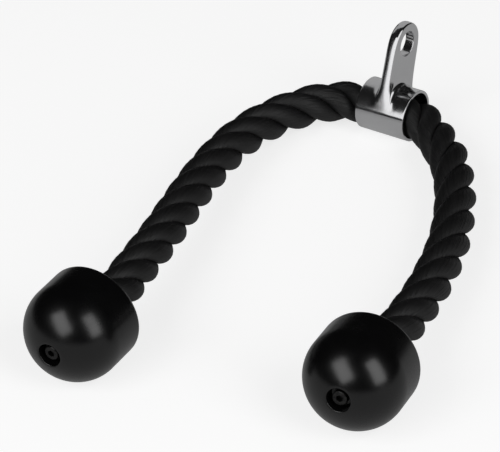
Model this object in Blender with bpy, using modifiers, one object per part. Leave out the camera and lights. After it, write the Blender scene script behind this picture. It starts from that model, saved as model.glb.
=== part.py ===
# Triceps rope attachment: one thick three-strand rope drawn through a chrome eye
# collar, with a screwed-on ball end on each of its two tails. It is laid out on a
# flat surface as an open U, the tang of the collar leaning back from upright.
# Metres, +Z up. X runs along the rope inside the collar, +Y from the balls to it.

import math

import bmesh
import bpy
from mathutils import Matrix, Vector

# Clearance that is left between pieces that touch on the real object.
fit_gap = 0.0003
# How far a cutter runs past the face that it opens.
overrun = 0.002
# Points nearer than this are one point.
weld_reach = 0.00001

# Rope: plain tubes as thick as the three strands laid together.
rope_radius = 0.0140
rope_point_spacing = 0.0115
rope_end_lead = 0.0020
rope_sides_resolution = 4
route_samples = 16

# Eye collar: a short tube that the rope runs through, with the tang on it.
collar_slack = 0.0020
collar_wall = 0.0020
collar_bore_radius = rope_radius + collar_slack
collar_outer_radius = collar_bore_radius + collar_wall
collar_centre = Vector((-0.0630, 0.1650, collar_outer_radius))
rope_sag_in_collar = 0.00144
collar_length = 0.0375
collar_end_chamfer = 0.0004
collar_facets = 72
# The rope is split into its middle and its two tails just outside the two mouths.
rope_split_from_mouth = 0.0005

# Tang: a flat plate square to the rope, tapering up to a rounded eye.
tang_lean = math.radians(19.0)
tang_thickness = 0.006
eye_centre_height = 0.0455
eye_outer_radius = 0.016
eye_hole_offset = 0.0015
eye_hole_height = eye_centre_height + eye_hole_offset
eye_hole_radius = 0.00875
tang_foot_side_inset = 0.0004
tang_foot_half_width = collar_outer_radius - tang_foot_side_inset
tang_foot_height = 0.0035
tang_foot_sink = 0.0011
tang_foot_depth = collar_outer_radius - tang_foot_sink
tang_foot_spread = math.radians(77.0)
tang_fillet_radius = 0.0045
tang_fillet_bite = 0.00015
tang_edge_round = 0.0010
tang_foot_trim = 0.0001
eye_arc_steps = 20
eye_hole_steps = 32
foot_arc_steps = 16
fillet_steps = 7
fillet_facets = 96
edge_round_floor = 0.0004
fillet_cutter_reach = 0.090
fillet_cutter_height = 0.020

# Ball end: a moulded dome, a short straight band and a shallow domed back.
ball_radius = 0.032
ball_band_front = 0.0075
ball_band_back = -0.0125
ball_front_dome_height = 0.0293
ball_back_dome_height = 0.0080
ball_back_dome_power = 2.5
ball_front_steps = 12
ball_back_steps = 7
ball_facets = 48
ball_mouth_round = 0.0005
ball_web_back = 0.0200
ball_web_front = 0.0275
recess_radius = 0.0075
recess_rim_round = 0.0006

# Socket-head cap screw that holds each ball on.
screw_head_radius = 0.0050
screw_head_height = 0.0060
screw_head_chamfer = 0.0005
screw_shank_radius = 0.0030
screw_shank_length = 0.0250
screw_tip_chamfer = 0.0006
screw_socket_flat_width = 0.0050
screw_socket_depth = 0.0030
screw_facets = 32

# Threaded insert that is set in each rope end for the screw.
insert_radius = 0.0070
insert_length = 0.0220
insert_barb_depth = 0.0006
insert_barb_count = 3
insert_bore_radius = screw_shank_radius + fit_gap
insert_facets = 32

# How each ball lies: its middle seen from above, the heading of its domed front from
# +X, and how far that front is tipped up. A tipped ball rests on its band's rear edge.
ball_rests = {
    "left": (-0.0855, -0.1595, math.radians(-86.3), math.radians(0.0)),
    "right": (0.0851, -0.1158, math.radians(-79.9), math.radians(7.0)),
}
# Stops on each ball's axis, counted from its middle, that the rope runs straight by.
rope_end_stop = ball_web_back - fit_gap / 2
rope_straight_stops = (rope_end_stop, 0.0046, -0.0100, -0.0210, -0.0320)

# The rope's route from the left ball to the right one, as it lies, seen from above.
rope_route = (
    (-0.0864, -0.1205),
    (-0.0919, -0.0979),
    (-0.0966, -0.0717),
    (-0.1036, -0.0437),
    (-0.1119, -0.0150),
    (-0.1199, 0.0137),
    (-0.1263, 0.0423),
    (-0.1303, 0.0692),
    (-0.1304, 0.0946),
    (-0.1266, 0.1157),
    (-0.1196, 0.1341),
    (-0.1114, 0.1487),
    (-0.1004, 0.1586),
    (-0.0886, 0.1631),
    (-0.0766, 0.1650),
    (-0.0660, 0.1662),
    (-0.0501, 0.1653),
    (-0.0413, 0.1637),
    (-0.0316, 0.1594),
    (-0.0214, 0.1507),
    (-0.0105, 0.1417),
    (0.0020, 0.1307),
    (0.0151, 0.1138),
    (0.0286, 0.0930),
    (0.0419, 0.0675),
    (0.0542, 0.0393),
    (0.0638, 0.0075),
    (0.0717, -0.0238),
    (0.0761, -0.0499),
    (0.0798, -0.0736),
)
# At each of those points, its rise above the collar's rope, as a share of the height
# that the middle of a level ball stands above that rope.
rope_rise_shares = (
    1.00, 0.97, 0.91, 0.82, 0.69, 0.55, 0.41, 0.29, 0.18, 0.11,
    0.05, 0.02, 0.00, 0.00, 0.00, 0.00, 0.00, 0.00, 0.00, 0.00,
    0.01, 0.01, 0.03, 0.05, 0.10, 0.17, 0.29, 0.43, 0.58, 0.75,
)


def ball_place(rest):
    """The ball's middle, and the way that its domed front points."""
    x, y, heading, tip = rest
    level = math.cos(tip)
    rise = math.sin(tip)
    forward = Vector((level * math.cos(heading), level * math.sin(heading), rise))
    return Vector((x, y, ball_radius * level - ball_band_back * rise)), forward


def clear_scene():
    for old in list(bpy.data.objects):
        bpy.data.objects.remove(old, do_unlink=True)


def make_collection(name):
    made = bpy.data.collections.new(name)
    bpy.context.scene.collection.children.link(made)
    return made


def make_material(name, colour, roughness, metallic):
    made = bpy.data.materials.new(name)
    made.use_nodes = True
    shader = made.node_tree.nodes["Principled BSDF"]
    shader.inputs["Base Color"].default_value = (*colour, 1.0)
    shader.inputs["Roughness"].default_value = roughness
    shader.inputs["Metallic"].default_value = metallic
    made.diffuse_color = (*colour, 1.0)
    return made


def place(obj, collection, material=None, matrix=None):
    collection.objects.link(obj)
    if material:
        obj.data.materials.append(material)
    if matrix:
        obj.matrix_world = matrix
    return obj


def make_cutter(obj, matrix=None):
    place(obj, cutters, None, matrix)
    obj.hide_render = True
    obj.display_type = "WIRE"
    return obj


def lathe_object(name, profile, facets, closed):
    """A profile of (radius, height) points turned about Z, its outer side top first."""
    mesh = bpy.data.meshes.new(name)
    points = [(radius, 0.0, height) for radius, height in profile]
    edges = [(i, i + 1) for i in range(len(points) - 1)]
    if closed:
        edges.append((len(points) - 1, 0))
    mesh.from_pydata(points, edges, [])
    obj = bpy.data.objects.new(name, mesh)
    turn = obj.modifiers.new("turn", "SCREW")
    turn.axis = "Z"
    turn.steps = facets
    turn.render_steps = facets
    turn.use_merge_vertices = True
    turn.merge_threshold = weld_reach
    turn.use_smooth_shade = True
    return obj


def cut(obj, cutter, name):
    step = obj.modifiers.new(name, "BOOLEAN")
    step.operation = "DIFFERENCE"
    step.solver = "EXACT"
    step.object = cutter


def applied_mesh(obj):
    """The object's shape with its modifiers, as a mesh of its own."""
    bpy.context.view_layer.update()
    graph = bpy.context.evaluated_depsgraph_get()
    mesh = bpy.data.meshes.new_from_object(obj.evaluated_get(graph))
    work = bmesh.new()
    work.from_mesh(mesh)
    bmesh.ops.remove_doubles(work, verts=work.verts, dist=weld_reach)
    work.to_mesh(mesh)
    work.free()
    return mesh


def shade_by_angle(mesh, angle):
    mesh.shade_smooth()
    mesh.set_sharp_from_angle(angle=angle)


def smooth_line(points):
    """A cubic B-spline on the route's points, which starts and ends on its ends."""
    rows = [points[0]] * 2 + points + [points[-1]] * 2
    line = []
    for i in range(len(rows) - 3):
        a, b, c, d = rows[i : i + 4]
        for k in range(route_samples):
            t = k / route_samples
            line.append(
                (a * (1 - t) ** 3 + b * (3 * t**3 - 6 * t**2 + 4) + d * t**3) / 6
                + c * (-3 * t**3 + 3 * t**2 + 3 * t + 1) / 6
            )
    line.append(rows[-1])
    return line


def lengths_along(line):
    along = [0.0]
    for a, b in zip(line, line[1:]):
        along.append(along[-1] + (b - a).length)
    return along


def point_at(line, along, distance):
    for i in range(1, len(line)):
        if along[i] >= distance:
            share = (distance - along[i - 1]) / (along[i] - along[i - 1])
            return line[i - 1].lerp(line[i], share)
    return line[-1]


def direction_at(line, along, distance):
    behind = point_at(line, along, max(distance - rope_end_lead, 0.0))
    ahead = point_at(line, along, min(distance + rope_end_lead, along[-1]))
    return (ahead - behind).normalized()


def stretch_of(line, along, start, end):
    """Points along the line from start to end, with a straight lead at each end."""
    leads = []
    for distance, inward in ((start, 1), (end, -1)):
        spot = point_at(line, along, distance)
        heading = inward * direction_at(line, along, distance)
        face = spot + heading * fit_gap / 2
        leads.append((face, face + heading * rope_end_lead))
    first = start + rope_end_lead
    run = end - rope_end_lead - first
    count = round(run / rope_point_spacing)
    stops = [first + run * i / count for i in range(1, count)]
    inner = [point_at(line, along, stop) for stop in stops]
    return [*leads[0], *inner, *reversed(leads[1])]


def tube_mesh(name, points):
    data = bpy.data.curves.new(name, "CURVE")
    data.dimensions = "3D"
    data.twist_mode = "Z_UP"
    data.bevel_depth = rope_radius
    data.bevel_resolution = rope_sides_resolution
    data.use_fill_caps = True
    spline = data.splines.new("POLY")
    spline.points.add(len(points) - 1)
    for point, place_of in zip(spline.points, points):
        point.co = (*place_of, 1.0)
    guide = bpy.data.objects.new(name + "_guide", data)
    cutters.objects.link(guide)
    mesh = applied_mesh(guide)
    bpy.data.objects.remove(guide, do_unlink=True)
    mesh.name = name
    shade_by_angle(mesh, math.radians(40.0))
    return mesh


def facing(centre, forward):
    """A matrix at centre whose Z axis looks forward."""
    turn = forward.normalized().to_track_quat("Z", "Y").to_matrix().to_4x4()
    return Matrix.Translation(centre) @ turn


def parent_to(child, parent):
    child.parent = parent
    child.matrix_parent_inverse = parent.matrix_world.inverted()


clear_scene()
parts = make_collection("triceps_rope_attachment")
cutters = make_collection("cutters")

rope_black = make_material("rope_black_fibre", (0.014, 0.014, 0.015), 0.9, 0.0)
chrome_plate = make_material("chrome_plate", (0.78, 0.78, 0.79), 0.07, 1.0)
ball_black = make_material("ball_black_moulding", (0.008, 0.008, 0.009), 0.38, 0.0)
black_oxide = make_material("screw_black_oxide", (0.02, 0.02, 0.021), 0.42, 1.0)
zinc_steel = make_material("insert_zinc_steel", (0.55, 0.56, 0.58), 0.35, 1.0)

# Rope, one length of it: the middle in the collar and a tail to each ball.
ball_places = {side: ball_place(rest) for side, rest in ball_rests.items()}
rope_low = collar_centre.z - rope_sag_in_collar
left_run = [
    ball_places["left"][0] + ball_places["left"][1] * stop
    for stop in rope_straight_stops
]
free_run = [
    Vector((x, y, rope_low + rise_share * (ball_radius - rope_low)))
    for (x, y), rise_share in zip(rope_route, rope_rise_shares)
]
right_run = [
    ball_places["right"][0] + ball_places["right"][1] * stop
    for stop in reversed(rope_straight_stops)
]
line = smooth_line(left_run + free_run + right_run)
along = lengths_along(line)
split_reach = collar_length / 2 + rope_split_from_mouth
near_collar = [
    (distance, point)
    for distance, point in zip(along, line)
    if abs(point.y - collar_centre.y) < collar_outer_radius
]
left_split = min(
    near_collar, key=lambda row: abs(row[1].x - collar_centre.x + split_reach)
)[0]
right_split = min(
    near_collar, key=lambda row: abs(row[1].x - collar_centre.x - split_reach)
)[0]
stretches = {
    "rope_left": (0.0, left_split),
    "rope_middle": (left_split, right_split),
    "rope_right": (right_split, along[-1]),
}
ropes = {}
for name, (start, end) in stretches.items():
    mesh = tube_mesh(name, stretch_of(line, along, start, end))
    ropes[name] = place(bpy.data.objects.new(name, mesh), parts, rope_black)

# Pivots: the collar turns about its own bore, and each tail bends at its mouth.
pivots = {}
for name, spot in (
    ("collar_pivot", collar_centre),
    ("left_bend_pivot", point_at(line, along, left_split)),
    ("right_bend_pivot", point_at(line, along, right_split)),
):
    pivots[name] = bpy.data.objects.new(name, None)
    parts.objects.link(pivots[name])
    pivots[name].location = spot
bpy.context.view_layer.update()

# Eye collar. In its own frame Z is the bore, X the way that the tang stands.
up_tang = Vector((0.0, math.sin(tang_lean), math.cos(tang_lean)))
along_bore = Vector((1.0, 0.0, 0.0))
across_tang = along_bore.cross(up_tang)
collar_frame = Matrix.Translation(collar_centre) @ (
    Matrix((up_tang, across_tang, along_bore)).transposed().to_4x4()
)
half_length = collar_length / 2
chamfer = collar_end_chamfer
tube_profile = (
    (collar_outer_radius - chamfer, half_length),
    (collar_outer_radius, half_length - chamfer),
    (collar_outer_radius, chamfer - half_length),
    (collar_outer_radius - chamfer, -half_length),
    (collar_bore_radius + chamfer, -half_length),
    (collar_bore_radius, chamfer - half_length),
    (collar_bore_radius, half_length - chamfer),
    (collar_bore_radius + chamfer, half_length),
)
collar = lathe_object("eye_collar", tube_profile, collar_facets, closed=True)
place(collar, parts, chrome_plate, collar_frame)

# The tang's outline: foot arc in the tube's wall, straight sides and eye arc.
side_run = Vector(
    (eye_centre_height - tang_foot_height, eye_outer_radius - tang_foot_half_width)
)
side_tilt = math.atan2(-side_run.y, side_run.x)
eye_arc_end = math.pi / 2 - side_tilt
tang_outline = []
for i in range(eye_arc_steps + 1):
    turn = -eye_arc_end + 2 * eye_arc_end * i / eye_arc_steps
    tang_outline.append(
        (
            eye_centre_height + eye_outer_radius * math.cos(turn),
            eye_outer_radius * math.sin(turn),
        )
    )
tang_outline.append((tang_foot_height, tang_foot_half_width))
for i in range(foot_arc_steps + 1):
    turn = tang_foot_spread - 2 * tang_foot_spread * i / foot_arc_steps
    tang_outline.append(
        (tang_foot_depth * math.cos(turn), tang_foot_depth * math.sin(turn))
    )
tang_outline.append((tang_foot_height, -tang_foot_half_width))
hole_outline = []
for i in range(eye_hole_steps):
    turn = 2 * math.pi * i / eye_hole_steps
    hole_outline.append(
        (
            eye_hole_height + eye_hole_radius * math.cos(turn),
            eye_hole_radius * math.sin(turn),
        )
    )
foot_half_thickness = tang_thickness / 2 + tang_fillet_radius - tang_foot_trim
plate_curve = bpy.data.curves.new("tang", "CURVE")
plate_curve.dimensions = "2D"
plate_curve.fill_mode = "BOTH"
plate_curve.extrude = foot_half_thickness
for outline in (tang_outline, hole_outline):
    spline = plate_curve.splines.new("POLY")
    spline.use_cyclic_u = True
    spline.points.add(len(outline) - 1)
    for point, (x, y) in zip(spline.points, outline):
        point.co = (x, y, 0.0, 1.0)
plate_guide = bpy.data.objects.new("tang_guide", plate_curve)
cutters.objects.link(plate_guide)
tang = bpy.data.objects.new("tang", applied_mesh(plate_guide))
bpy.data.objects.remove(plate_guide, do_unlink=True)
make_cutter(tang, collar_frame)

# Two turned cutters thin the plate and leave its fillets round the tube.
fillet_start = collar_outer_radius - tang_fillet_bite
face_height = tang_thickness / 2
fillet_profile = [
    (fillet_cutter_reach, fillet_cutter_height),
    (fillet_cutter_reach, face_height),
]
for i in range(fillet_steps + 1):
    turn = -math.pi / 2 * (1 + i / fillet_steps)
    fillet_profile.append(
        (
            fillet_start + tang_fillet_radius * (1 + math.cos(turn)),
            face_height + tang_fillet_radius * (1 + math.sin(turn)),
        )
    )
fillet_profile.append((fillet_start, fillet_cutter_height))
upper_cutter = lathe_object("fillet_cutter_right", fillet_profile, fillet_facets, True)
make_cutter(upper_cutter, collar_frame)
lower_profile = [(radius, -height) for radius, height in reversed(fillet_profile)]
lower_cutter = lathe_object("fillet_cutter_left", lower_profile, fillet_facets, True)
make_cutter(lower_cutter, collar_frame)
cut(tang, upper_cutter, "right_face")
cut(tang, lower_cutter, "left_face")
plate_mesh = applied_mesh(tang)
tang.modifiers.clear()
tang.data = plate_mesh

# The plate's edges are rounded wherever they stand clear of the tube.
work = bmesh.new()
work.from_mesh(plate_mesh)
weights = work.edges.layers.float.new("bevel_weight_edge")
for edge in work.edges:
    clear = min(vert.co.xy.length for vert in edge.verts)
    bend = edge.calc_face_angle(0.0)
    if bend > math.radians(60.0) and clear > collar_outer_radius + edge_round_floor:
        edge[weights] = 1.0
work.to_mesh(plate_mesh)
work.free()
rounding = tang.modifiers.new("edge_round", "BEVEL")
rounding.limit_method = "WEIGHT"
rounding.width = tang_edge_round
rounding.segments = 2
join = collar.modifiers.new("tang", "BOOLEAN")
join.operation = "UNION"
join.solver = "EXACT"
join.object = tang
collar_mesh = applied_mesh(collar)
collar.modifiers.clear()
collar.data = collar_mesh
shade_by_angle(collar_mesh, math.radians(32.0))
parent_to(collar, pivots["collar_pivot"])

# Ball ends, each with its screw and the insert that the screw is run into.
rim_radius = recess_radius + recess_rim_round


def front_dome_height(radius):
    share = math.sqrt(1 - (radius / ball_radius) ** 2)
    return ball_band_front + ball_front_dome_height * share


def back_dome_height(radius):
    inner_share = 1 - (radius / ball_radius) ** ball_back_dome_power
    return ball_band_back - ball_back_dome_height * inner_share ** (
        1 / ball_back_dome_power
    )


bore_radius = rope_radius + fit_gap
mouth_radius = bore_radius + ball_mouth_round
ball_profile = []
first_turn = math.asin(rim_radius / ball_radius)
for i in range(ball_front_steps + 1):
    turn = first_turn + (math.pi / 2 - first_turn) * i / ball_front_steps
    radius = ball_radius * math.sin(turn)
    ball_profile.append((radius, front_dome_height(min(radius, ball_radius))))
for i in range(ball_back_steps + 1):
    inset_share = (i / ball_back_steps) ** 2
    radius = ball_radius - (ball_radius - mouth_radius) * inset_share
    ball_profile.append((radius, back_dome_height(radius)))
ball_profile += [
    (bore_radius, back_dome_height(mouth_radius) + ball_mouth_round),
    (bore_radius, ball_web_back),
    (screw_shank_radius + fit_gap, ball_web_back),
    (screw_shank_radius + fit_gap, ball_web_front),
    (recess_radius, ball_web_front),
    (recess_radius, front_dome_height(rim_radius) - recess_rim_round),
]
screw_seat = ball_web_front + fit_gap
screw_top = screw_seat + screw_head_height
screw_tip = screw_seat - screw_shank_length
screw_profile = (
    (0.0, screw_top),
    (screw_head_radius - screw_head_chamfer, screw_top),
    (screw_head_radius, screw_top - screw_head_chamfer),
    (screw_head_radius, screw_seat),
    (screw_shank_radius, screw_seat),
    (screw_shank_radius, screw_tip + screw_tip_chamfer),
    (screw_shank_radius - screw_tip_chamfer, screw_tip),
    (0.0, screw_tip),
)
insert_top = ball_web_back - fit_gap
insert_bottom = insert_top - insert_length
insert_profile = [(insert_radius, insert_top)]
barb_pitch = insert_length / (insert_barb_count + 1)
for i in range(insert_barb_count):
    barb_height = insert_top - barb_pitch * (i + 1)
    insert_profile += [
        (insert_radius, barb_height),
        (insert_radius - insert_barb_depth, barb_height),
    ]
insert_profile += [
    (insert_radius, insert_bottom + barb_pitch / 2),
    (insert_radius - insert_barb_depth, insert_bottom),
    (insert_bore_radius, insert_bottom),
    (insert_bore_radius, insert_top),
]
socket_radius = screw_socket_flat_width / math.sqrt(3.0)
socket_reach = screw_socket_depth + overrun
seat_bore_radius = insert_radius + fit_gap
seat_bore_bottom = insert_bottom - fit_gap
seat_bore_top = insert_top + overrun

for side, (centre, forward) in ball_places.items():
    at_ball = facing(centre, forward)
    pivot = pivots[side + "_bend_pivot"]
    ball = lathe_object("end_ball_" + side, ball_profile, ball_facets, closed=True)
    place(ball, parts, ball_black, at_ball)

    screw = lathe_object(
        "ball_screw_" + side, screw_profile, screw_facets, closed=False
    )
    place(screw, parts, black_oxide, at_ball)
    bpy.ops.mesh.primitive_cylinder_add(
        vertices=6, radius=socket_radius, depth=2 * socket_reach
    )
    socket = bpy.context.object
    socket.name = "socket_cutter_" + side
    for old in list(socket.users_collection):
        old.objects.unlink(socket)
    socket_spot = Vector((0.0, 0.0, screw_top - screw_socket_depth + socket_reach))
    make_cutter(socket, at_ball @ Matrix.Translation(socket_spot))
    cut(screw, socket, "socket")

    insert = lathe_object(
        "rope_end_insert_" + side, insert_profile, insert_facets, closed=True
    )
    place(insert, parts, zinc_steel, at_ball)

    rope = ropes["rope_" + side]
    bpy.ops.mesh.primitive_cylinder_add(
        vertices=insert_facets,
        radius=seat_bore_radius,
        depth=seat_bore_top - seat_bore_bottom,
    )
    seat = bpy.context.object
    seat.name = "insert_seat_cutter_" + side
    for old in list(seat.users_collection):
        old.objects.unlink(seat)
    seat_spot = Vector((0.0, 0.0, (seat_bore_top + seat_bore_bottom) / 2))
    make_cutter(seat, at_ball @ Matrix.Translation(seat_spot))
    cut(rope, seat, "insert_seat")

    for piece in (ball, screw, insert, rope):
        parent_to(piece, pivot)
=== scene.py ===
import math

import bmesh
import bpy
from mathutils import Matrix, Vector


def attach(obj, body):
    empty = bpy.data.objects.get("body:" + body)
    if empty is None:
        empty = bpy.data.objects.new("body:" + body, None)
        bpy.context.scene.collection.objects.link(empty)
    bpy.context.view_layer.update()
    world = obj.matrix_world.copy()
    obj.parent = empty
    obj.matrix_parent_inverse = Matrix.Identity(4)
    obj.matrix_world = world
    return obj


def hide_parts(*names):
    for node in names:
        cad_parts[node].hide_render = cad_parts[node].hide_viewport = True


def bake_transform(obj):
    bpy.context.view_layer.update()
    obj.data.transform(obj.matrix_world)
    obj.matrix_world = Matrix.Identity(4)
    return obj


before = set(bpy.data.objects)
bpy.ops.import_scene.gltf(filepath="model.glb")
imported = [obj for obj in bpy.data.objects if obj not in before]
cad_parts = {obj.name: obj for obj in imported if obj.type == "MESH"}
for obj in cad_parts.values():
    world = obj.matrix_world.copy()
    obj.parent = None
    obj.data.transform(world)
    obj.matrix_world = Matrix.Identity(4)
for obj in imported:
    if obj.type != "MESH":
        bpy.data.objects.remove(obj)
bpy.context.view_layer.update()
scene = bpy.context.scene
scene.view_settings.view_transform = "Standard"

# Camera. It looks down on the rope from its right front, turned a little about its own
# axis, and from far enough off that the rope keeps its true proportions.
view_target = Vector((-0.0662, -0.0058, 0.0200))
view_turn = math.radians(35.02)
view_height = math.radians(33.94)
view_roll = math.radians(-2.66)
view_distance = 1.7477
view_lens = 196.55
view_from = Vector(
    (
        math.sin(view_turn) * math.cos(view_height),
        -math.cos(view_turn) * math.cos(view_height),
        math.sin(view_height),
    )
)
view_right = Vector((0.0, 0.0, 1.0)).cross(view_from).normalized()
view_up = view_from.cross(view_right)
camera = bpy.data.objects.new("camera", bpy.data.cameras.new("camera"))
scene.collection.objects.link(camera)
camera.data.sensor_width = 36.0
camera.data.lens = view_lens
camera.data.clip_start = 0.05  # nearer than the object ever comes
camera.data.clip_end = 60.0  # past the dark tent
camera.matrix_world = (
    Matrix.Translation(view_target + view_from * view_distance)
    @ Matrix((view_right, view_up, view_from)).transposed().to_4x4()
    @ Matrix.Rotation(view_roll, 4, "Z")
)
scene.camera = camera

# Rope. One length of matt black fibre rope, three strands laid right-handed, each
# strand twisted from yarns the other way, so that the yarns lie along the rope. It
# runs from ball to ball through the collar, and is made as two halves.
rope_low = 0.01656
ball_radius = 0.032
ball_band_back = -0.0125
rope_end_stop = 0.01985
rope_straight_stops = (rope_end_stop, 0.0046, -0.0100, -0.0210, -0.0320)
ball_rests = {
    "left": (-0.0855, -0.1595, math.radians(-86.3), math.radians(0.0)),
    "right": (0.0851, -0.1158, math.radians(-79.9), math.radians(7.0)),
}
rope_route = (
    (-0.0864, -0.1205),
    (-0.0919, -0.0979),
    (-0.0966, -0.0717),
    (-0.1036, -0.0437),
    (-0.1119, -0.0150),
    (-0.1199, 0.0137),
    (-0.1263, 0.0423),
    (-0.1303, 0.0692),
    (-0.1304, 0.0946),
    (-0.1266, 0.1157),
    (-0.1196, 0.1341),
    (-0.1114, 0.1487),
    (-0.1004, 0.1586),
    (-0.0886, 0.1631),
    (-0.0766, 0.1650),
    (-0.0660, 0.1662),
    (-0.0501, 0.1653),
    (-0.0413, 0.1637),
    (-0.0316, 0.1594),
    (-0.0214, 0.1507),
    (-0.0105, 0.1417),
    (0.0020, 0.1307),
    (0.0151, 0.1138),
    (0.0286, 0.0930),
    (0.0419, 0.0675),
    (0.0542, 0.0393),
    (0.0638, 0.0075),
    (0.0717, -0.0238),
    (0.0761, -0.0499),
    (0.0798, -0.0736),
)
rope_rise_shares = (
    1.00, 0.97, 0.91, 0.82, 0.69, 0.55, 0.41, 0.29, 0.18, 0.11,
    0.05, 0.02, 0.00, 0.00, 0.00, 0.00, 0.00, 0.00, 0.00, 0.00,
    0.01, 0.01, 0.03, 0.05, 0.10, 0.17, 0.29, 0.43, 0.58, 0.75,
)
route_samples = 16
spine_step = 0.0010
tangent_reach = 4
rope_middle_distance = 0.3900
# How the strands turn, left and right of the collar: a place along the rope and the
# lay length in millimetres, the turn at that place, and how it drifts over 100 mm.
left_lay = (218.5, 78.14, 0.422, 0.004, 0.258)
right_lay = (550.0, 83.94, 1.186, 0.148, 0.282)
right_turn_past_left = 13 * math.tau / 3
lay_change_start = 371.0
lay_change_length = 38.0
strand_centre_radius = 0.00655
strand_radius = 0.00722
strand_swell = 0.012
strand_flat_gap = 0.00006
strand_ring_step = 0.0026
yarns_in_strand = 36
columns_per_yarn = 4
yarn_groove_depth = 0.00020
yarn_groove_shares = (1.0, 0.25, 0.0, 0.25)
yarn_swell = 0.00005
yarn_turn_per_metre = -160.0
# The rope's two ends are bored for their inserts.
seat_radius = 0.00745
seat_length = 0.0226


def ball_place(rest):
    """The ball's middle, and the way that its domed front points."""
    x, y, heading, tip = rest
    level = math.cos(tip)
    rise = math.sin(tip)
    forward = Vector((level * math.cos(heading), level * math.sin(heading), rise))
    return Vector((x, y, ball_radius * level - ball_band_back * rise)), forward


def smooth_line(points):
    """A cubic B-spline on the route's points, which starts and ends on its ends."""
    rows = [points[0]] * 2 + points + [points[-1]] * 2
    made = []
    for i in range(len(rows) - 3):
        a, b, c, d = rows[i : i + 4]
        for k in range(route_samples):
            t = k / route_samples
            made.append(
                (a * (1 - t) ** 3 + b * (3 * t**3 - 6 * t**2 + 4) + d * t**3) / 6
                + c * (-3 * t**3 + 3 * t**2 + 3 * t + 1) / 6
            )
    made.append(rows[-1])
    return made


def even_line(points, step):
    """The same line in even steps, and its length."""
    along = [0.0]
    for a, b in zip(points, points[1:]):
        along.append(along[-1] + (b - a).length)
    count = round(along[-1] / step)
    made = []
    k = 1
    for i in range(count + 1):
        stop = along[-1] * i / count
        while along[k] < stop and k < len(points) - 1:
            k += 1
        run = along[k] - along[k - 1]
        share = (stop - along[k - 1]) / run if run > 0.0 else 0.0
        made.append(points[k - 1].lerp(points[k], min(share, 1.0)))
    return made, along[-1]


ball_places = {side: ball_place(rest) for side, rest in ball_rests.items()}
left_run = [
    ball_places["left"][0] + ball_places["left"][1] * stop
    for stop in rope_straight_stops
]
free_run = [
    Vector((x, y, rope_low + rise_share * (ball_radius - rope_low)))
    for (x, y), rise_share in zip(rope_route, rope_rise_shares)
]
right_run = [
    ball_places["right"][0] + ball_places["right"][1] * stop
    for stop in reversed(rope_straight_stops)
]
spine, rope_length = even_line(smooth_line(left_run + free_run + right_run), spine_step)
spine_step = rope_length / (len(spine) - 1)
spine_ahead = []
for i in range(len(spine)):
    behind = spine[max(i - tangent_reach, 0)]
    before = spine[min(i + tangent_reach, len(spine) - 1)]
    spine_ahead.append((before - behind).normalized())
spine_side = [Vector((0.0, 0.0, 1.0))]
for ahead in spine_ahead:
    last = spine_side[-1]
    spine_side.append((last - ahead * last.dot(ahead)).normalized())
spine_side = spine_side[1:]


def spine_frame(distance):
    """The rope's middle, heading and two square directions at that length along it."""
    place = min(max(distance / spine_step, 0.0), len(spine) - 1.0001)
    i = int(place)
    share = place - i
    ahead = spine_ahead[i].lerp(spine_ahead[i + 1], share).normalized()
    side = spine_side[i].lerp(spine_side[i + 1], share)
    side = (side - ahead * side.dot(ahead)).normalized()
    return spine[i].lerp(spine[i + 1], share), ahead, side, ahead.cross(side)


def lay_turn(millimetres, lay):
    place, lay_length, turn, square_drift, cube_drift = lay
    off = millimetres - place
    x = off / 100.0
    return turn + math.tau * off / lay_length + square_drift * x**2 + cube_drift * x**3


def strand_turn(distance):
    """How far the strands have turned round the rope at that length along it."""
    millimetres = distance * 1000.0
    left = lay_turn(millimetres, left_lay)
    right = lay_turn(millimetres, right_lay) + right_turn_past_left
    share = min(max((millimetres - lay_change_start) / lay_change_length, 0.0), 1.0)
    share = share * share * (3 - 2 * share)
    return left * (1 - share) + right * share


def strand_middle(distance, number):
    """That strand's middle, which swells a little as a laid rope's does."""
    middle, ahead, side, over = spine_frame(distance)
    turn = strand_turn(distance) + number * math.tau / 3
    swell = 1.0 + strand_swell * math.sin(distance * 61.0 + number * 2.1)
    return middle + (side * math.cos(turn) + over * math.sin(turn)) * (
        strand_centre_radius * swell
    )


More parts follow.
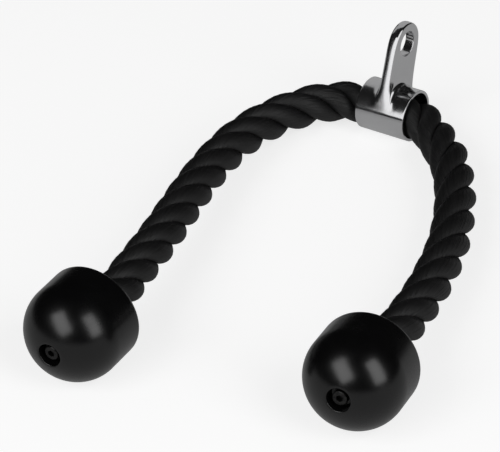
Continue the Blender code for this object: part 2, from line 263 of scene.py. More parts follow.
def rope_half(name, start, end):
    """Three laid strands as closed tubes, their sides pressed flat on each other."""
    columns = yarns_in_strand * columns_per_yarn
    rings = round((end - start) / strand_ring_step)
    flat_cos = math.cos(math.tau / 6)
    flat_sin = math.sin(math.tau / 6)
    points = []
    faces = []
    uv_rows = []
    for number in range(3):
        base = len(points)
        for i in range(rings + 1):
            distance = start + (end - start) * i / rings
            here = strand_middle(distance, number)
            heading = (
                strand_middle(distance + spine_step, number)
                - strand_middle(distance - spine_step, number)
            ).normalized()
            if i == 0:
                heading = spine_frame(start)[1]
            if i == rings:
                heading = spine_frame(end)[1]
            middle = spine_frame(distance)[0]
            out = here - middle
            out = (out - heading * out.dot(heading)).normalized()
            across = heading.cross(out)
            twist = yarn_turn_per_metre * distance
            for j in range(columns):
                turn = math.tau * j / columns + twist
                groove = yarn_groove_shares[j % columns_per_yarn] * yarn_groove_depth
                yarn = j // columns_per_yarn
                loose = yarn_swell * math.sin(distance * 140.0 + yarn * 2.4 + number)
                size = strand_radius - groove + loose
                spot = here + (out * math.cos(turn) + across * math.sin(turn)) * size
                ahead_by = (spot - middle).dot(spine_frame(distance)[1])
                place, ahead, side, over = spine_frame(distance + ahead_by)
                off = spot - place
                off -= ahead * off.dot(ahead)
                facing = strand_turn(distance + ahead_by) + number * math.tau / 3
                radial = side * math.cos(facing) + over * math.sin(facing)
                sideways = over * math.cos(facing) - side * math.sin(facing)
                r = off.dot(radial)
                s = off.dot(sideways)
                for sign in (1.0, -1.0):
                    # The flat where two strands press on each other.
                    past = sign * s * flat_cos - r * flat_sin + strand_flat_gap
                    if past > 0.0:
                        r += past * flat_sin
                        s -= sign * past * flat_cos
                r = max(r, strand_flat_gap)
                to_end = min(distance + ahead_by, rope_length - distance - ahead_by)
                if to_end < seat_length and math.hypot(r, s) < seat_radius:
                    size = seat_radius / math.hypot(r, s)
                    r *= size
                    s *= size
                points.append(place + radial * r + sideways * s)
        for i in range(rings):
            for j in range(columns):
                a = base + i * columns + j
                b = base + i * columns + (j + 1) % columns
                faces.append((a, b, b + columns, a + columns))
                uv_rows.append((number, j, i))
        faces.append(tuple(base + j for j in reversed(range(columns))))
        uv_rows.append(None)
        top = base + rings * columns
        faces.append(tuple(top + j for j in range(columns)))
        uv_rows.append(None)
    mesh = bpy.data.meshes.new(name)
    mesh.from_pydata([tuple(p) for p in points], [], faces)
    uv_map = mesh.uv_layers.new(name="yarns")
    for polygon, row in zip(mesh.polygons, uv_rows):
        if row is None:
            continue
        number, j, i = row
        low = start + (end - start) * i / rings
        high = start + (end - start) * (i + 1) / rings
        corners = ((j, low), (j + 1, low), (j + 1, high), (j, high))
        for loop, (column, distance) in zip(polygon.loop_indices, corners):
            uv_map.data[loop].uv = (number + column / columns, distance)
    made = bpy.data.objects.new(name, mesh)
    scene.collection.objects.link(made)
    mesh.shade_smooth()
    mesh.set_sharp_from_angle(angle=math.radians(60.0))
    return made


def new_material(name):
    made = bpy.data.materials.new(name)
    made.use_nodes = True
    nodes = made.node_tree.nodes
    return made, nodes, made.node_tree.links.new, nodes["Principled BSDF"]


def add_node(nodes, kind, **settings):
    made = nodes.new(kind)
    for key, value in settings.items():
        setattr(made, key, value)
    return made


def fill(node, **values):
    for key, value in values.items():
        node.inputs[key.replace("_", " ")].default_value = value


def tone_range(nodes, dark, light, low=0.0, high=1.0):
    """A ramp from the dark tone at low to the light one at high."""
    made = add_node(nodes, "ShaderNodeValToRGB")
    stops = made.color_ramp.elements
    for stop, position, tone in zip(stops, (low, high), (dark, light)):
        stop.position = position
        stop.color = (*tone, 1.0)
    return made


rope_fibre, nodes, link, shader = new_material("rope_black_fibre")
fill(shader, Roughness=0.53)
shader.inputs["Specular IOR Level"].default_value = 0.50
yarn_map = add_node(nodes, "ShaderNodeUVMap", uv_map="yarns")
yarn_scale = add_node(nodes, "ShaderNodeVectorMath", operation="MULTIPLY")
yarn_scale.inputs[1].default_value = (yarns_in_strand, 1.0, 1.0)
yarn_split = add_node(nodes, "ShaderNodeSeparateXYZ")
yarn_floor = add_node(nodes, "ShaderNodeMath", operation="FLOOR")
yarn_tone = add_node(nodes, "ShaderNodeTexWhiteNoise", noise_dimensions="1D")
fibre_scale = add_node(nodes, "ShaderNodeVectorMath", operation="MULTIPLY")
fibre_scale.inputs[1].default_value = (yarns_in_strand * 7.0, 260.0, 1.0)
fibre_noise = add_node(nodes, "ShaderNodeTexNoise")
fill(fibre_noise, Scale=1.0, Detail=4.0, Roughness=0.6)
tone_share = add_node(nodes, "ShaderNodeMath", operation="MULTIPLY")
tone_share.inputs[1].default_value = 0.5
tone_mix = add_node(nodes, "ShaderNodeMath", operation="ADD")
rope_dark = (0.0025, 0.0025, 0.0027)
rope_light = (0.0075, 0.0075, 0.0078)
tone_ramp = tone_range(nodes, rope_dark, rope_light, 0.45, 0.975)
rough_range = add_node(nodes, "ShaderNodeMapRange")
fill(rough_range, From_Min=0.3, From_Max=0.7, To_Min=0.46, To_Max=0.60)
fibre_bump = add_node(nodes, "ShaderNodeBump")
fill(fibre_bump, Strength=0.55, Distance=0.00018)
link(yarn_map.outputs["UV"], yarn_scale.inputs[0])
link(yarn_scale.outputs[0], yarn_split.inputs[0])
link(yarn_split.outputs["X"], yarn_floor.inputs[0])
link(yarn_floor.outputs[0], yarn_tone.inputs["W"])
link(yarn_map.outputs["UV"], fibre_scale.inputs[0])
link(fibre_scale.outputs[0], fibre_noise.inputs["Vector"])
link(yarn_tone.outputs["Value"], tone_share.inputs[0])
link(tone_share.outputs[0], tone_mix.inputs[0])
link(fibre_noise.outputs["Fac"], tone_mix.inputs[1])
link(tone_mix.outputs[0], tone_ramp.inputs["Fac"])
link(tone_ramp.outputs["Color"], shader.inputs["Base Color"])
link(fibre_noise.outputs["Fac"], rough_range.inputs["Value"])
link(rough_range.outputs["Result"], shader.inputs["Roughness"])
link(fibre_noise.outputs["Fac"], fibre_bump.inputs["Height"])
link(fibre_bump.outputs["Normal"], shader.inputs["Normal"])

left_rope = rope_half("rope_left_strands", 0.0, rope_middle_distance)
right_rope = rope_half("rope_right_strands", rope_middle_distance, rope_length)
for piece in (left_rope, right_rope):
    piece.data.materials.append(rope_fibre)
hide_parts("rope_left", "rope_middle")
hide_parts("rope_right", "rope_middle")
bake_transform(left_rope)
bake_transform(right_rope)

# Eye collar. A steel tube round the rope and a flat tang with a rounded eye, cast in
# one piece with a wide fillet between them, polished and chrome plated. It is drawn
# with the bore along Z and the tang towards X, and turned into place at the end.
collar_centre = Vector((-0.0630, 0.1650, 0.0180))
collar_outer_radius = 0.0180
collar_bore_radius = 0.0160
collar_length = 0.0375
collar_columns = 36
rim_support = 0.0006
tang_lean = math.radians(19.0)
tang_half_thickness = 0.0034
fillet_support = 0.0110
eye_hole_height = 0.0470
eye_hole_radius = 0.00875
eye_hole_support = 0.0010
collar_smoothing = 3
# Rows of the tang from its middle column out to its foot: height, half width and
# half thickness in millimetres, from the tube's face up to the outline.
tang_foot_row = (
    (18.09, 0.00, 3.4), (17.82, 3.14, 3.4), (17.00, 6.19, 3.4),
    (15.67, 9.05, 3.4), (13.86, 11.63, 3.5), (11.63, 13.86, 4.0),
    (9.05, 15.67, 5.2), (6.19, 17.00, 6.9), (3.14, 17.82, 8.2),
)
tang_fillet_row = (
    (26.0, 0.0, 3.4), (25.7, 3.6, 3.4), (25.0, 7.2, 3.4),
    (23.75, 10.5, 3.4), (21.9, 13.1, 3.4), (18.4, 14.4, 3.6),
    (13.7, 15.6, 4.5), (8.6, 16.8, 6.2), (3.9, 17.75, 7.8),
)
tang_inner_row = (
    (59.2, 0.0, 3.4), (57.4, 6.9, 3.4), (52.4, 11.95, 3.4),
    (45.2, 13.3, 3.4), (34.0, 13.5, 3.4), (24.2, 14.0, 3.4),
    (16.6, 15.0, 3.8), (10.4, 16.45, 5.2), (4.6, 17.70, 7.2),
)
tang_outline_row = (
    (62.5, 0.0, 3.7), (60.2, 8.5, 3.7), (54.0, 14.70, 3.7),
    (45.2, 16.45, 3.7), (34.0, 16.64, 3.7), (24.0, 17.00, 3.7),
    (15.5, 17.25, 3.9), (9.3, 17.45, 4.6), (5.2, 17.64, 6.4),
)
tang_open_columns = 5
tang_foot_reach = math.radians(80.0)
same_place = 1e-6


def only(*objects):
    """Leaves just these selected, the first of them active."""
    if bpy.context.object and bpy.context.object.mode != "OBJECT":
        bpy.ops.object.mode_set(mode="OBJECT")
    bpy.ops.object.select_all(action="DESELECT")
    for obj in objects:
        obj.select_set(True)
    bpy.context.view_layer.objects.active = objects[0]


def start_edit(obj, kind="FACE"):
    only(obj)
    bpy.ops.object.mode_set(mode="EDIT")
    bpy.ops.mesh.select_mode(type=kind)
    bpy.ops.mesh.select_all(action="DESELECT")
    return bmesh.from_edit_mesh(obj.data)


def pick(obj, rows, test):
    """Selects the faces or edges that pass the test, and no others."""
    bpy.ops.mesh.select_all(action="DESELECT")
    found = 0
    for row in rows:
        if test(row):
            row.select_set(True)
            found += 1
    bmesh.update_edit_mesh(obj.data)
    return found


def end_edit():
    bpy.ops.object.mode_set(mode="OBJECT")


def apply_all(obj):
    only(obj)
    for step in list(obj.modifiers):
        bpy.ops.object.modifier_apply(modifier=step.name)


def place_selected(obj, old_places, new_places):
    """Moves each selected vertex from its old place's column to the new one."""
    mesh = bmesh.from_edit_mesh(obj.data)
    for vert in mesh.verts:
        if vert.select:
            spot = vert.co.xy
            number = min(
                range(len(old_places)),
                key=lambda i: (spot - old_places[i].xy).length,
            )
            level = new_places[number].z
            side = round(vert.co.z / max(abs(vert.co.z), level / 2))
            vert.co = (*new_places[number].xy, level * side)
    bmesh.update_edit_mesh(obj.data)


def whole_row(half_row):
    """The row's places in metres, from one foot over the top to the other."""
    right = [Vector(place) / 1000 for place in half_row]
    left = [Vector((place.x, -place.y, place.z)) for place in right[:0:-1]]
    return left + right


# The tube's outer face, with a ring of edges wherever its shape changes.
swell = 3 / (2 + math.cos(math.tau / collar_columns))
bpy.ops.object.select_all(action="DESELECT")
bpy.ops.mesh.primitive_cylinder_add(
    vertices=collar_columns,
    radius=collar_outer_radius * swell,
    depth=collar_length,
    end_fill_type="NOTHING",
)
collar = bpy.context.object
collar.name = "chrome_eye_collar"
start_edit(collar)
for level in (
    collar_length / 2 - rim_support,
    fillet_support,
    tang_half_thickness,
    0.0,
    -tang_half_thickness,
    -fillet_support,
    rim_support - collar_length / 2,
):
    bpy.ops.mesh.select_all(action="SELECT")
    bpy.ops.mesh.bisect(plane_co=(0.0, 0.0, level), plane_no=(0.0, 0.0, 1.0))

# The tang is drawn out of the tube's upper face, row by row.
foot_row = whole_row(tang_foot_row)
fillet_row = whole_row(tang_fillet_row)
inner_row = whole_row(tang_inner_row)
outline_row = whole_row(tang_outline_row)


def under_tang(face):
    middle = face.calc_center_median()
    turn = math.atan2(middle.y, middle.x)
    return abs(middle.z) < tang_half_thickness and abs(turn) < tang_foot_reach


mesh = bmesh.from_edit_mesh(collar.data)
pick(collar, mesh.faces, under_tang)
place_selected(collar, foot_row, foot_row)
for old_row, new_row in (
    (foot_row, fillet_row),
    (fillet_row, inner_row),
    (inner_row, outline_row),
):
    bpy.ops.mesh.extrude_region_move()
    place_selected(collar, old_row, new_row)

# The eye's hole is opened in both broad faces, and its wall joins them.
eye_middle = Vector((eye_hole_height, 0.0, 0.0))
middle_column = len(tang_inner_row) - 1
open_first = middle_column - tang_open_columns
open_last = middle_column + tang_open_columns + 1
mouth_row = inner_row[open_first:open_last] + fillet_row[open_first:open_last][::-1]
mouth_count = len(mouth_row)
hole_swell = 3 / (2 + math.cos(math.tau / mouth_count))


def hole_ring(radius, level):
    made = []
    for i in range(mouth_count):
        turn = math.tau * (i - tang_open_columns) / mouth_count
        made.append(
            eye_middle
            + Vector((math.cos(turn), math.sin(turn), 0.0)) * radius * hole_swell
            + Vector((0.0, 0.0, level))
        )
    return made


hole_rings = (
    mouth_row,
    hole_ring(eye_hole_radius + eye_hole_support, tang_half_thickness),
    hole_ring(eye_hole_radius, tang_half_thickness),
    hole_ring(eye_hole_radius, tang_half_thickness - eye_hole_support),
)


def open_face(face):
    """A broad face's quad that has all its corners where the hole opens."""
    middle = face.calc_center_median()
    level = abs(abs(middle.z) - tang_half_thickness) < 0.0002
    near = [
        any((vert.co.xy - place.xy).length < same_place for place in mouth_row)
        for vert in face.verts
    ]
    return level and all(near)


mesh = bmesh.from_edit_mesh(collar.data)
pick(collar, mesh.faces, open_face)
bpy.ops.mesh.delete(type="FACE")
bpy.ops.mesh.select_mode(type="EDGE")


def mouth_edge(edge):
    middle = (edge.verts[0].co + edge.verts[1].co) / 2
    return edge.is_boundary and middle.x > collar_outer_radius


mesh = bmesh.from_edit_mesh(collar.data)
pick(collar, mesh.edges, mouth_edge)
for old_row, new_row in zip(hole_rings, hole_rings[1:]):
    bpy.ops.mesh.extrude_region_move()
    place_selected(collar, old_row, new_row)
bpy.ops.mesh.bridge_edge_loops()

# The tube's rims and bore.
rim_level = collar_length / 2
rim_rings = (
    (collar_outer_radius, rim_level),
    (collar_outer_radius - rim_support, rim_level),
    (collar_bore_radius + rim_support, rim_level),
    (collar_bore_radius, rim_level),
    (collar_bore_radius, rim_level - rim_support),
    (collar_bore_radius, rim_level / 3),
)
mesh = bmesh.from_edit_mesh(collar.data)
pick(collar, mesh.edges, lambda edge: edge.is_boundary)
for (old_radius, old_level), (radius, level) in zip(rim_rings, rim_rings[1:]):
    bpy.ops.mesh.extrude_region_move()
    share = radius / old_radius
    drop = level / old_level
    bpy.ops.transform.resize(
        value=(share, share, drop), center_override=(0.0, 0.0, 0.0)
    )
bpy.ops.mesh.bridge_edge_loops()
bpy.ops.mesh.select_all(action="SELECT")
bpy.ops.mesh.normals_make_consistent(inside=False)
end_edit()
smoothing = collar.modifiers.new("smoothing", "SUBSURF")
smoothing.levels = collar_smoothing
smoothing.render_levels = collar_smoothing
apply_all(collar)
bpy.ops.object.shade_smooth()
up_tang = Vector((0.0, math.sin(tang_lean), math.cos(tang_lean)))
along_bore = Vector((1.0, 0.0, 0.0))
collar.matrix_world = Matrix.Translation(collar_centre) @ (
    Matrix((up_tang, along_bore.cross(up_tang), along_bore)).transposed().to_4x4()
)
bpy.ops.object.transform_apply(location=True, rotation=True, scale=True)

chrome, nodes, link, shader = new_material("chrome_plate")
fill(shader, Metallic=1.0, Roughness=0.13)
place = add_node(nodes, "ShaderNodeTexCoord")
haze = add_node(nodes, "ShaderNodeTexNoise")
fill(haze, Scale=90.0, Detail=3.0, Roughness=0.55)
haze_ramp = tone_range(nodes, (0.64, 0.64, 0.65), (0.72, 0.72, 0.73))
rough_range = add_node(nodes, "ShaderNodeMapRange")
fill(rough_range, From_Min=0.3, From_Max=0.75, To_Min=0.09, To_Max=0.17)
ripple = add_node(nodes, "ShaderNodeTexNoise")
fill(ripple, Scale=160.0, Detail=1.5, Roughness=0.4)
ripple_bump = add_node(nodes, "ShaderNodeBump")
fill(ripple_bump, Strength=0.16, Distance=0.00012)
link(place.outputs["Object"], haze.inputs["Vector"])
link(place.outputs["Object"], ripple.inputs["Vector"])
link(haze.outputs["Fac"], haze_ramp.inputs["Fac"])
link(haze_ramp.outputs["Color"], shader.inputs["Base Color"])
link(haze.outputs["Fac"], rough_range.inputs["Value"])
link(rough_range.outputs["Result"], shader.inputs["Roughness"])
link(ripple.outputs["Fac"], ripple_bump.inputs["Height"])
link(ripple_bump.outputs["Normal"], shader.inputs["Normal"])
collar.data.materials.clear()
collar.data.materials.append(chrome)
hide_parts("eye_collar")
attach(collar, "eye_collar")

# Ball ends. Black moulded stoppers, domed in front round a deep recess for the screw,
# with a short straight band and a shallow domed back that is bored for the rope.
ball_band_front = 0.0075
ball_front_dome_height = 0.0293
ball_back_dome_height = 0.0080
ball_back_dome_power = 2.5
ball_facets = 128
ball_front_rings = 30
ball_back_rings = 16
ball_web_back = 0.0200
ball_web_front = 0.0275
recess_radius = 0.0075
recess_rim_round = 0.0007
bore_radius = 0.0143
bore_rim_round = 0.0006
shank_hole_radius = 0.0033
rim_steps = 5
# The recess's floor meets its wall in a small round: inset and rise of each stop.
recess_corner_stops = ((0.0, 0.0008), (0.0002, 0.0003), (0.0007, 0.0))


def add_cylinder(name, radius, depth, facets, middle):
    """A bar along Z round that height."""
    bpy.ops.object.select_all(action="DESELECT")
    bpy.ops.mesh.primitive_cylinder_add(
        vertices=facets, radius=radius, depth=depth, location=(0.0, 0.0, middle)
    )
    made = bpy.context.object
    made.name = name
    bpy.ops.object.transform_apply(location=True, rotation=True, scale=True)
    return made


def front_dome(radius):
    level = math.sqrt(max(1 - (radius / ball_radius) ** 2, 0.0))
    return ball_band_front + ball_front_dome_height * level


def back_dome(radius):
    level = max(1 - (radius / ball_radius) ** ball_back_dome_power, 0.0)
    return ball_band_back - ball_back_dome_height * level ** (1 / ball_back_dome_power)


def rounded_rim(radius, height, size, into):
    """Stops round a rim, from the outer face to the wall; into is its way, -1 or 1."""
    stops = []
    for i in range(1, rim_steps + 1):
        turn = math.pi / 2 * i / rim_steps
        stops.append(
            (
                radius + size * (1 - math.sin(turn)),
                height + into * size * (1 - math.cos(turn)),
            )
        )
    return stops


def draw_out(obj, upward, start, stops):
    """Extrudes the cap that looks up or down, ring by ring, to (radius, height)."""
    mesh = bmesh.from_edit_mesh(obj.data)
    heights = [vert.co.z for vert in mesh.verts]
    level = max(heights) if upward else min(heights)

    def is_cap(face):
        looks = face.normal.z if upward else -face.normal.z
        return looks > 0.99 and abs(face.calc_center_median().z - level) < same_place

    pick(obj, mesh.faces, is_cap)
    last_radius, last_height = start
    for radius, height in stops:
        bpy.ops.mesh.extrude_region_move(
            TRANSFORM_OT_translate={"value": (0.0, 0.0, height - last_height)}
        )
        share = radius / last_radius
        bpy.ops.transform.resize(
            value=(share, share, 1.0), center_override=(0.0, 0.0, height)
        )
        last_radius, last_height = radius, height


band_middle = (ball_band_front + ball_band_back) / 2
ball = add_cylinder(
    "end_ball",
    ball_radius,
    ball_band_front - ball_band_back,
    ball_facets,
    band_middle,
)
front_stops = []
rim_outer = recess_radius + recess_rim_round
first_turn = math.asin(rim_outer / ball_radius)
for i in range(1, ball_front_rings + 1):
    turn = math.pi / 2 + (first_turn - math.pi / 2) * i / ball_front_rings
    radius = ball_radius * math.sin(turn)
    front_stops.append((radius, front_dome(radius)))
rim_height = front_dome(rim_outer)
front_stops += rounded_rim(recess_radius, rim_height, recess_rim_round, -1)
for inset, rise in recess_corner_stops:
    front_stops.append((recess_radius - inset, ball_web_front + rise))
front_stops.append((shank_hole_radius, ball_web_front))
back_stops = []
mouth_outer = bore_radius + bore_rim_round
for i in range(1, ball_back_rings + 1):
    inset_share = (i / ball_back_rings) ** 2
    radius = ball_radius - (ball_radius - mouth_outer) * inset_share
    back_stops.append((radius, back_dome(radius)))
back_stops += rounded_rim(bore_radius, back_dome(mouth_outer), bore_rim_round, 1)
back_stops += [(bore_radius, ball_web_back), (shank_hole_radius, ball_web_back)]
start_edit(ball)
draw_out(ball, True, (ball_radius, ball_band_front), front_stops)
bpy.ops.mesh.delete(type="FACE")
draw_out(ball, False, (ball_radius, ball_band_back), back_stops)
bpy.ops.mesh.delete(type="FACE")
bpy.ops.mesh.select_mode(type="EDGE")
mesh = bmesh.from_edit_mesh(ball.data)
pick(ball, mesh.edges, lambda edge: edge.is_boundary)
bpy.ops.mesh.bridge_edge_loops()
bpy.ops.mesh.select_all(action="SELECT")
bpy.ops.mesh.normals_make_consistent(inside=False)
end_edit()
bpy.ops.object.shade_smooth_by_angle(angle=math.radians(40.0))

moulding, nodes, link, shader = new_material("ball_black_moulding")
fill(shader, Roughness=0.25)
shader.inputs["Specular IOR Level"].default_value = 0.5
place = add_node(nodes, "ShaderNodeTexCoord")
grain = add_node(nodes, "ShaderNodeTexNoise")
fill(grain, Scale=2600.0, Detail=2.0, Roughness=0.5)
smear = add_node(nodes, "ShaderNodeTexNoise")
fill(smear, Scale=45.0, Detail=4.0, Roughness=0.6)
ball_dark = (0.0018, 0.0018, 0.0019)
ball_light = (0.0032, 0.0032, 0.0034)
tone_ramp = tone_range(nodes, ball_dark, ball_light, 0.3, 0.7)
rough_range = add_node(nodes, "ShaderNodeMapRange")
fill(rough_range, From_Min=0.3, From_Max=0.7, To_Min=0.22, To_Max=0.29)
grain_bump = add_node(nodes, "ShaderNodeBump")
fill(grain_bump, Strength=0.18, Distance=0.00004)
link(place.outputs["Object"], grain.inputs["Vector"])
link(place.outputs["Object"], smear.inputs["Vector"])
link(smear.outputs["Fac"], tone_ramp.inputs["Fac"])
link(tone_ramp.outputs["Color"], shader.inputs["Base Color"])
link(smear.outputs["Fac"], rough_range.inputs["Value"])
link(rough_range.outputs["Result"], shader.inputs["Roughness"])
link(grain.outputs["Fac"], grain_bump.inputs["Height"])
link(grain_bump.outputs["Normal"], shader.inputs["Normal"])
ball.data.materials.append(moulding)


def facing(centre, forward):
    """A matrix at centre whose Z axis looks forward."""
    turn = forward.normalized().to_track_quat("Z", "Y").to_matrix().to_4x4()
    return Matrix.Translation(centre) @ turn


def copy_to(obj, name, matrix):
    """A copy with its own mesh, put in place and that place applied."""
    made = obj.copy()
    made.data = obj.data.copy()
    made.name = name
    made.data.name = name
    scene.collection.objects.link(made)
    only(made)
    made.matrix_world = matrix
    bpy.ops.object.transform_apply(location=True, rotation=True, scale=True)
    return made


for side, (centre, forward) in ball_places.items():
    piece = copy_to(ball, side + "_ball_end", facing(centre, forward))
    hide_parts("end_ball_" + side)
    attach(piece, side + "_tail")
bpy.data.objects.remove(ball, do_unlink=True)

# Ball screws. Socket-head cap screws in black oxide, run through each ball's web into
# the insert in the rope's end, which holds the ball on.
screw_head_radius = 0.0048
screw_head_height = 0.0060
screw_head_round = 0.0009
screw_shank_radius = 0.0030
screw_shank_length = 0.0250
screw_tip_chamfer = 0.0006
socket_flat_width = 0.0040
socket_depth = 0.0030
screw_seat_gap = 0.0003
screw_seat = ball_web_front + screw_seat_gap
screw_top = screw_seat + screw_head_height
screw_facets = 72


def combine(obj, other, operation):
    step = obj.modifiers.new("combine", "BOOLEAN")
    step.operation = operation
    step.solver = "EXACT"
    step.object = other
    apply_all(obj)
    bpy.data.objects.remove(other, do_unlink=True)


screw = add_cylinder(
    "ball_screw",
    screw_head_radius,
    screw_head_height,
    screw_facets,
    screw_seat + screw_head_height / 2,
)
start_edit(screw)
draw_out(
    screw,
    False,
    (screw_head_radius, screw_seat),
    [
        (screw_shank_radius, screw_seat),
        (screw_shank_radius, screw_seat - screw_shank_length + screw_tip_chamfer),
        (screw_shank_radius - screw_tip_chamfer, screw_seat - screw_shank_length),
    ],
)
end_edit()
socket = add_cylinder(
    "socket",
    socket_flat_width / math.sqrt(3.0),
    2 * socket_depth,
    6,
    screw_top,
)
combine(screw, socket, "DIFFERENCE")
mesh = start_edit(screw, "EDGE")


def head_rim(edge):
    """The sharp edge round the head's top, and not the socket's."""
    return (
        edge.is_manifold
        and all(abs(vert.co.z - screw_top) < same_place for vert in edge.verts)
        and edge.calc_face_angle(0.0) > math.radians(60.0)
        and min(vert.co.xy.length for vert in edge.verts) > screw_head_radius - 0.0003
    )


pick(screw, mesh.edges, head_rim)
bpy.ops.mesh.bevel(offset=screw_head_round, segments=4, affect="EDGES")
end_edit()
bpy.ops.object.shade_smooth_by_angle(angle=math.radians(35.0))

oxide, nodes, link, shader = new_material("screw_black_oxide")
fill(shader, Metallic=0.9, Roughness=0.33)
place = add_node(nodes, "ShaderNodeTexCoord")
bloom = add_node(nodes, "ShaderNodeTexNoise")
fill(bloom, Scale=420.0, Detail=4.0, Roughness=0.6)
oxide_dark = (0.016, 0.016, 0.017)
oxide_light = (0.055, 0.054, 0.052)
tone_ramp = tone_range(nodes, oxide_dark, oxide_light, 0.35, 0.75)
rough_range = add_node(nodes, "ShaderNodeMapRange")
fill(rough_range, From_Min=0.3, From_Max=0.7, To_Min=0.24, To_Max=0.42)
link(place.outputs["Object"], bloom.inputs["Vector"])
link(bloom.outputs["Fac"], tone_ramp.inputs["Fac"])
link(tone_ramp.outputs["Color"], shader.inputs["Base Color"])
link(bloom.outputs["Fac"], rough_range.inputs["Value"])
link(rough_range.outputs["Result"], shader.inputs["Roughness"])
screw.data.materials.clear()
screw.data.materials.append(oxide)
for side, (centre, forward) in ball_places.items():
    piece = copy_to(screw, side + "_ball_screw", facing(centre, forward))
    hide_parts("ball_screw_" + side)
    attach(piece, side + "_tail")
bpy.data.objects.remove(screw, do_unlink=True)

# Rope-end inserts. Zinc plated steel sleeves that are set in the rope's ends for the
# screws. Their CAD shape is kept, and they get their plated finish here.
zinc, nodes, link, shader = new_material("insert_zinc_plate")
fill(shader, Metallic=1.0, Roughness=0.39)
place = add_node(nodes, "ShaderNodeTexCoord")
spangle = add_node(nodes, "ShaderNodeTexVoronoi")
fill(spangle, Scale=700.0)
tone_ramp = tone_range(nodes, (0.46, 0.47, 0.49), (0.62, 0.63, 0.64))
rough_range = add_node(nodes, "ShaderNodeMapRange")
fill(rough_range, To_Min=0.30, To_Max=0.48)
link(place.outputs["Object"], spangle.inputs["Vector"])
link(spangle.outputs["Color"], tone_ramp.inputs["Fac"])
link(tone_ramp.outputs["Color"], shader.inputs["Base Color"])
link(spangle.outputs["Distance"], rough_range.inputs["Value"])
link(rough_range.outputs["Result"], shader.inputs["Roughness"])
for side in ball_places:
    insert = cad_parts["rope_end_insert_" + side]
    for row in insert.material_slots:
        row.material = zinc

# Studio. A pale floor and a white background, with two soft boxes beside the camera.
# A dark tent, seen in reflections alone, gives the chrome and the black mouldings the
# dark room of a product studio, and pale panels beside it light the chrome alone.
floor_size = 16.0
floor_colour = 0.40
floor_lift = 0.76
floor_glossy_lift = 0.20
ambient_level = 0.08
tent_radius = 8.0
tent_level = 0.012
box_distance = 3.4
box_width = 1.70
box_height = 2.90
box_power = 46.0
panel_distance = 3.0
panel_glow = 1.15
near_panel_distance = 0.25
near_panel_left = -0.180
near_panel_right = -0.050
near_panel_low = 0.020
near_panel_high = 0.420


def from_side(turn, height, distance):
    """A place at that bearing from the front towards +X, and height, in degrees."""
    turn = math.radians(turn)
    height = math.radians(height)
    level = math.cos(height) * distance
    return Vector(
        (math.sin(turn) * level, -math.cos(turn) * level, math.sin(height) * distance)
    )


def glow(name, colour, strength):
    made, nodes, link, shader = new_material(name)
    lamp = add_node(nodes, "ShaderNodeEmission")
    fill(lamp, Color=(*colour, 1.0), Strength=strength)
    link(lamp.outputs[0], nodes["Material Output"].inputs["Surface"])
    return made


def reflection_only(obj):
    """Part of the studio that shows in glossy surfaces and nowhere else."""
    obj.visible_camera = False
    obj.visible_diffuse = False
    obj.visible_transmission = False
    obj.visible_volume_scatter = False
    obj.visible_shadow = False


def soft_box(name, place, target, width, height, power, roll=0.0):
    lamp = bpy.data.lights.new(name, "AREA")
    lamp.shape = "RECTANGLE"
    lamp.size = width
    lamp.size_y = height
    lamp.energy = power
    made = bpy.data.objects.new(name, lamp)
    scene.collection.objects.link(made)
    aim = Vector(place) - Vector(target)
    made.matrix_world = Matrix.Translation(place) @ (
        aim.to_track_quat("Z", "Y").to_matrix().to_4x4()
        @ Matrix.Rotation(math.radians(roll), 4, "Z")
    )
    made.visible_camera = False
    return made


bpy.ops.object.select_all(action="DESELECT")
bpy.ops.mesh.primitive_plane_add(size=floor_size, location=(0.0, 0.0, -0.0002))
floor = bpy.context.object
floor.name = "studio_floor"
floor_paint, nodes, link, shader = new_material("studio_floor")
fill(shader, Base_Color=(floor_colour, floor_colour, floor_colour, 1.0), Roughness=1.0)
shader.inputs["Specular IOR Level"].default_value = 0.0
rays = add_node(nodes, "ShaderNodeLightPath")
lift = add_node(nodes, "ShaderNodeEmission")
lift_level = add_node(nodes, "ShaderNodeMath", operation="MULTIPLY")
lift_level.inputs[1].default_value = floor_lift
glossy_level = add_node(nodes, "ShaderNodeMath", operation="MULTIPLY_ADD")
glossy_level.inputs[1].default_value = floor_glossy_lift
total = add_node(nodes, "ShaderNodeAddShader")
link(rays.outputs["Is Camera Ray"], lift_level.inputs[0])
link(rays.outputs["Is Glossy Ray"], glossy_level.inputs[0])
link(lift_level.outputs[0], glossy_level.inputs[2])
link(glossy_level.outputs[0], lift.inputs["Strength"])
link(shader.outputs[0], total.inputs[0])
link(lift.outputs[0], total.inputs[1])
link(total.outputs[0], nodes["Material Output"].inputs["Surface"])
floor.data.materials.append(floor_paint)

world = bpy.data.worlds.new("studio")
scene.world = world
world.use_nodes = True
nodes = world.node_tree.nodes
link = world.node_tree.links.new
sky = nodes["Background"]
sky.inputs["Color"].default_value = (1.0, 1.0, 1.0, 1.0)
rays = add_node(nodes, "ShaderNodeLightPath")
seen = add_node(nodes, "ShaderNodeMath", operation="MAXIMUM")
seen_through = add_node(nodes, "ShaderNodeMath", operation="MAXIMUM")
level = add_node(nodes, "ShaderNodeMapRange")
fill(level, To_Min=ambient_level, To_Max=1.0)
link(rays.outputs["Is Camera Ray"], seen.inputs[0])
link(rays.outputs["Is Glossy Ray"], seen.inputs[1])
link(seen.outputs[0], seen_through.inputs[0])
link(rays.outputs["Is Transmission Ray"], seen_through.inputs[1])
link(seen_through.outputs[0], level.inputs["Value"])
link(level.outputs["Result"], sky.inputs["Strength"])

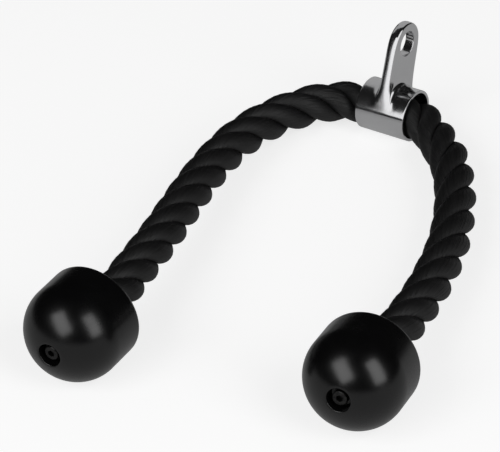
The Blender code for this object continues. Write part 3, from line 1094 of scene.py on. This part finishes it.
bpy.ops.object.select_all(action="DESELECT")
bpy.ops.mesh.primitive_uv_sphere_add(segments=48, ring_count=24, radius=tent_radius)
tent = bpy.context.object
tent.name = "dark_tent"
tent.data.materials.append(glow("dark_tent", (1.0, 1.0, 1.0), tent_level))
reflection_only(tent)

object_middle = Vector((0.0, 0.0, 0.03))
beside_chrome = bpy.data.collections.new("beside_chrome")
beside_chrome.objects.link(collar)
beside_chrome.collection_objects[0].light_linking.link_state = "EXCLUDE"
for name, turn, height, roll in (
    ("left_soft_box", -8.0, 36.0, 50.0),
    ("right_soft_box", 77.0, 33.0, 0.0),
):
    box = soft_box(
        name,
        from_side(turn, height, box_distance),
        object_middle,
        box_width,
        box_height,
        box_power,
        roll,
    )
    box.light_linking.receiver_collection = beside_chrome

# Upright panels that light the chrome alone: white on its right, grey behind it.
chrome_reach = bpy.data.collections.new("chrome_pieces")
chrome_reach.objects.link(collar)
for name, first_turn, last_turn, low, high, glow_level in (
    ("right_front_panel", 2.0, 44.0, 0.0, 4.3, panel_glow),
    ("right_side_panel", 44.0, 115.0, 0.0, 7.6, panel_glow),
    ("back_panel", -175.0, -135.0, 0.0, 5.2, 0.42),
    ("back_left_panel", -135.0, -78.0, 2.4, 5.2, 0.40),
):
    half_turn = (last_turn - first_turn) / 2
    width = 2 * panel_distance * math.tan(math.radians(half_turn))
    foot = collar_centre + from_side(first_turn + half_turn, 0.0, panel_distance)
    target = Vector((collar_centre.x, collar_centre.y, (low + high) / 2))
    panel = soft_box(
        name,
        Vector((foot.x, foot.y, target.z)),
        target,
        width,
        high - low,
        glow_level * math.pi * width * (high - low),
    )
    panel.light_linking.receiver_collection = chrome_reach

# The white's left part stands close by, so that the tube's left end looks past it.
near_width = near_panel_right - near_panel_left
near_height = near_panel_high - near_panel_low
near_place = Vector(
    (
        (near_panel_left + near_panel_right) / 2,
        collar_centre.y - near_panel_distance,
        (near_panel_low + near_panel_high) / 2,
    )
)
near_panel = soft_box(
    "near_front_panel",
    near_place,
    near_place + Vector((0.0, 1.0, 0.0)),
    near_width,
    near_height,
    panel_glow * math.pi * near_width * near_height,
)
near_panel.light_linking.receiver_collection = chrome_reach
